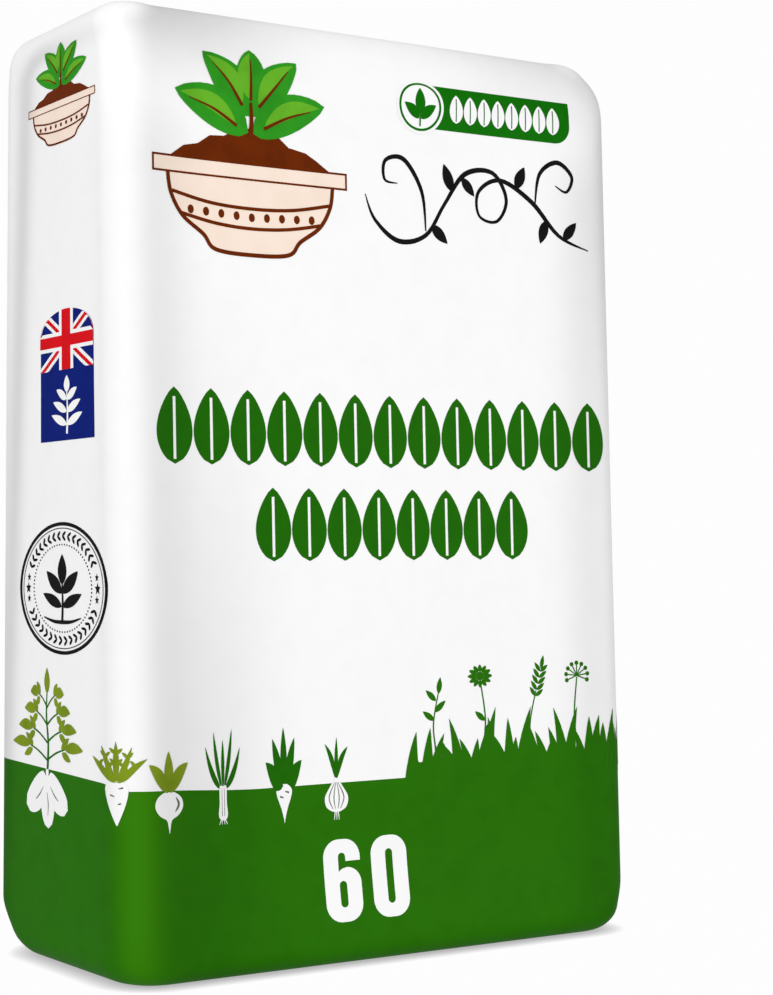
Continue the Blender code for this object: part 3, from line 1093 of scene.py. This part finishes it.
draw_crop_at((-0.3375, 0.137), (0.061, 0.07))
dark_leaves.pen([(0, -0.06), (0.03, 0.25), (-0.02, 0.55), (0, 0.8)], [0.06, 0.05, 0.04, 0.028])
for level in range(4):
    foot = 0.10 + level * 0.175
    reach = 0.98 - level * 0.17
    for side in (-reach, reach):
        elbow = (side * 0.5, foot + 0.13)
        dark_leaves.pen([(0, foot), (side * 0.25, foot + 0.08), elbow], [0.026, 0.02, 0.016])
        olive_leaves.leaves((elbow, (side, foot + 0.14), 0.115, math.copysign(0.02, side)),
                            ((side * 0.4, foot + 0.13), (side * 0.62, foot + 0.245), 0.085),
                            ((side * 0.42, foot + 0.09), (side * 0.66, foot + 0.02), 0.08))
olive_leaves.fill(leaf((0, 0.76), (0, 1.02), 0.15))
roots.pen([(0, 0.02), (0, -0.16)], 0.075)
for base, tip, width, bend in (((-0.01, -0.08), (-0.58, -0.38), 0.34, 0.03),
                               ((0.01, -0.08), (0.56, -0.36), 0.32, -0.03),
                               ((0, -0.08), (0.03, -0.58), 0.38, 0)):
    roots.fill(leaf(base, tip, width, bend, 0.42))
root_lines.pens(([(-0.1, -0.17), (-0.22, -0.26), (-0.32, -0.31)], [0.006, 0.016, 0.006]),
                ([(0.09, -0.16), (0.2, -0.24), (0.31, -0.29)], [0.006, 0.016, 0.006]),
                ([(0, -0.22), (0.03, -0.34), (0.02, -0.46)], [0.006, 0.02, 0.006]))

draw_crop_at((-0.2295, 0.1352), (0.033, 0.026))
roots.fill(both_sides([(0, 0.1), (0.22, 0.08), (0.4, -0.06), (0.38, -0.3), (0.24, -0.62),
                       (0.08, -0.92), (0, -1.04)]))
for height, reach in ((-0.1, 0.22), (-0.3, -0.2), (-0.5, 0.14)):
    root_lines.pen([(reach * 0.3, height), (reach, height + 0.03)], [0.02, 0.05])
for tip in ((-1, 0.66), (-0.58, 0.96), (0, 1.1), (0.58, 0.96), (1, 0.66)):
    olive_leaves.fill(leaf((tip[0] * 0.06, 0.04), tip, 0.2))
    for share in (0.45, 0.7):
        along = (tip[0] * share, 0.04 + (tip[1] - 0.04) * share)
        for side in (-0.22, 0.22):
            olive_leaves.fill(leaf(along, (along[0] + side, along[1] + 0.14), 0.1))

draw_crop_at((-0.1805, 0.129), (0.0155, 0.0265))
roots.fill(both_sides([(0, 0.02), (0.3, 0), (0.62, -0.14), (0.7, -0.36), (0.48, -0.56),
                       (0.14, -0.68), (0.05, -0.86), (0, -1.02)]))
root_lines.pen([(0.34, -0.12), (0.48, -0.3), (0.3, -0.48)], [0.02, 0.1, 0.02])
olive_leaves.leaves(((-0.04, 0), (-0.98, 0.72), 0.4, -0.06), ((0.04, 0), (0.98, 0.72), 0.4, 0.06),
                    ((0, 0.02), (0, 1.04), 0.46))

draw_crop_at((-0.1378, 0.128), (0.015, 0.04))
roots.fill(both_sides([(0, 0.06), (0.18, 0.05), (0.19, -0.22), (0.24, -0.42), (0.14, -0.5), (0, -0.51)]))
for reach in (-0.16, -0.06, 0.06, 0.16):
    roots.pen([(reach * 0.6, -0.49), (reach * 1.3, -0.58)], [0.04, 0.02])
for u in (-0.06, 0.07):
    root_lines.pen([(u, 0.02), (u, -0.44)], [0.02, 0.03])
for tip, bend in (((-0.9, 0.74), 0.1), ((-0.46, 0.98), 0.05), ((0.02, 0.84), 0), ((0.5, 1.02), -0.05),
                  ((0.92, 0.7), -0.1)):
    dark_leaves.fill(leaf((tip[0] * 0.12, 0.02), tip, 0.17, bend, 0.7))

draw_crop_at((-0.089, 0.1265), (0.0145, 0.042))
roots.fill(both_sides([(0, 0.05), (0.2, 0.04), (0.42, -0.04), (0.38, -0.16), (0.18, -0.34),
                       (0.05, -0.5), (0, -0.58)]))
root_lines.pens(([(0.05, -0.07), (0.26, -0.09)], [0.02, 0.035]),
                ([(-0.24, -0.15), (-0.04, -0.17)], [0.035, 0.02]))
for tip, bend in (((-1, 0.42), 0.05), ((-0.62, 0.8), 0.03), ((0, 0.98), 0), ((0.62, 0.8), -0.03),
                  ((1, 0.42), -0.05)):
    dark_leaves.fill(leaf((tip[0] * 0.05, 0.02), tip, 0.36, bend))

draw_crop_at((-0.0465, 0.1272), (0.0145, 0.027))
roots.fill(both_sides([(0, 0.14), (0.12, 0.06), (0.4, -0.14), (0.66, -0.38), (0.58, -0.62),
                       (0.26, -0.74), (0, -0.76)]))
for reach in (-0.42, -0.15, 0.15, 0.42):
    root_lines.pen([(reach * 0.2, 0), (reach, -0.38), (reach * 0.5, -0.68)], [0.02, 0.05, 0.02])
for reach in (-0.14, 0, 0.14):
    roots.pen([(reach * 0.6, -0.72), (reach, -0.96)], [0.06, 0.03])
dark_leaves.leaves(((-0.03, 0.08), (-0.62, 1), 0.22, -0.1), ((0.03, 0.08), (0.7, 0.9), 0.22, 0.1),
                   ((0, 0.08), (0.06, 1.16), 0.2))

roots.lay("print_crop_roots", print_white)
root_lines.lay("print_crop_lines", line_ink, 2.0)
olive_leaves.lay("print_crop_leaves_olive", olive_ink, 2.0)
dark_leaves.lay("print_crop_leaves_green", title_green, 1.0)


# The meadow at the right of the front, which runs on round the right side: blades of grass of the
# field's own green, with a few wild flowers standing above them.
BLADE_LEVELS = 7            # the blades of grass lie over one another in turns of so many
MEADOW_START = 17.5
MEADOW_END = 440.0
MEADOW_FOOT = 120.0
MEADOW_GROUND = 137.0


def grass_tree():
    graph, size = new_tree("grass_blades", {
        "Count": 70,
        "Start": MEADOW_START / 1000,
        "Pitch": 0.0061,
        "Foot": MEADOW_GROUND / 1000 - 0.012,
        "Shortest": 0.022,
        "Tallest": 0.051,
        "Blade Width": 0.0130,
        "Bend": 0.0090,
        "Seed": 11,
        **SACK_INPUTS,
    })
    index = graph.add("GeometryNodeInputIndex")

    def chance(low, high, turn):
        sockets = {2: low, 3: high, "ID": index, "Seed": size["Seed"] + turn}
        return graph.add("FunctionNodeRandomValue", {"data_type": "FLOAT"}, sockets, 1)

    blade = unit_grid(graph, 3, 8)
    x, y, _ = grid_points(graph)
    blade = stored(graph, stored(graph, blade, "across", x), "up", y + 0.5)
    step = joined(graph, size["Pitch"], 0, 0)
    row = graph.add("GeometryNodeMeshLine", {}, {"Count": size["Count"], "Offset": step})
    row = stored(graph, row, "root", size["Start"] + index * size["Pitch"] + chance(-0.0022, 0.0022, 0))
    row = stored(graph, row, "tall", chance(0, 1, 1))
    row = stored(graph, row, "bend", chance(-1, 1, 2))
    row = stored(graph, row, "over", index.math("MODULO", BLADE_LEVELS))
    blades = graph.add("GeometryNodeInstanceOnPoints", {}, {"Points": row, "Instance": blade})
    names = ("across", "up", "root", "tall", "bend")
    across, up, root, tall, bend = (read(graph, name) for name in names)
    tall = between(size["Shortest"], size["Tallest"], tall) * between(0.76, 1, ease(root, 0.01, 0.1))
    half = (1.0 - up) ** 0.8 * size["Blade Width"]
    u = root + across * half + bend * size["Bend"] * up * up
    flat = joined(graph, u, size["Foot"] + tall * up, read(graph, "over") * SHAPE_LIFT)
    merged = {"Geometry": moved(graph, realized(graph, blades), flat), "Distance": 0.000004}
    blades = graph.add("GeometryNodeMergeByDistance", {}, merged)
    return lay_on_sack(graph, forgotten(graph, blades, *names), size)


print_piece("print_grass", grass_tree(), {"Layer": 2.0, "Ink": field_green})

meadow = Artwork()
ground = [(MEADOW_START - 3.5, MEADOW_FOOT), (MEADOW_END, MEADOW_FOOT),
          (MEADOW_END, MEADOW_GROUND), (MEADOW_START, MEADOW_GROUND)]
meadow.fill(ground)
meadow.pens(([(40, 138), (37, 162), (42, 186)], [1.4, 1.2, 0.9]),
            ([(80, 138), (83, 165), (79, 194)], [1.6, 1.3, 1.1]),
            ([(124, 138), (123, 160), (129, 184)], [1.4, 1.2, 1]),
            ([(165, 138), (163, 165), (166, 193)], [1.4, 1.2, 1]))
meadow.leaves(((37.8, 166), (28, 173), 4.5), ((38.4, 172), (48, 180), 4.5),
              ((39.8, 180), (31, 188), 4.5), ((42, 185), (44, 197), 4.5),
              ((82.5, 156), (91, 164), 4.5), ((82.5, 164), (74, 171), 4.5))
daisy = (79, 196.5)
for step in range(12):
    turn = math.tau * step / 12
    near = (daisy[0] + 3 * math.cos(turn), daisy[1] + 3 * math.sin(turn))
    far = (daisy[0] + 11 * math.cos(turn), daisy[1] + 8.5 * math.sin(turn))
    meadow.fill(leaf(near, far, 3.4, 0, 0.6, 8))
meadow.fill(oval(daisy, 3.6, 3.2, 16))
for step in range(5):
    foot = (128.6 + step * 1.2, 180.0 + step * 4.5)
    meadow.leaves((foot, (foot[0] - 5, foot[1] + 7), 3.2), (foot, (foot[0] + 6.8, foot[1] + 4.8), 3.2))
meadow.fill(leaf((134, 200), (136.4, 210), 3.4))
puff = (166, 194)
for step in range(9):
    turn = math.radians(27.5 * step - 20)
    far = (puff[0] + 9.5 * math.cos(turn), puff[1] + 9.5 * math.sin(turn))
    meadow.pen([puff, far], 0.9, 2)
    meadow.fill(oval(far, 1.7, 1.7, 10))
meadow.lay("print_meadow", field_green)


# The number on the field: its volume in litres, in bold white figures.
FIGURE_WIDTH = 30.2
FIGURE_HEIGHT = 56.5
FIGURE_FOOT = 0.0310
STROKE = 12.1
ROUNDING = 12.5


def rounded_box(left, right, foot, top, corner):
    """Outline of a box with round corners."""
    outline = []
    for u, v, start in ((right - corner, foot + corner, 270), (right - corner, top - corner, 0),
                        (left + corner, top - corner, 90), (left + corner, foot + corner, 180)):
        outline += arc((u, v), corner, corner, start, 90)
    return outline


slot_right = FIGURE_WIDTH - STROKE
slot_round = (slot_right - STROKE) / 2
zero = rounded_box(0, FIGURE_WIDTH, 0, FIGURE_HEIGHT, ROUNDING)
quarter = len(zero) // 4
six = zero[quarter:] + zero[:quarter]
six += arc((FIGURE_WIDTH - 11.2, 26.2), 11.2, 10.8, 0, 90)
six += [(STROKE + 3, 36.2), (STROKE, 34.2)]
six += arc((FIGURE_WIDTH / 2, 44.2), slot_round, slot_round, 180, -180)
six += [(slot_right, 41.2), (FIGURE_WIDTH, 41.2)]
figures = Artwork((-0.0588, FIGURE_FOOT))
figures.fill(six, rounded_box(STROKE, slot_right, 9.8, 27.8, slot_round))
figures.place = (-0.0194, FIGURE_FOOT)
figures.fill(zero, rounded_box(STROKE, slot_right, 9.4, FIGURE_HEIGHT - 9.4, slot_round))
figures.lay("print_figures", print_white)
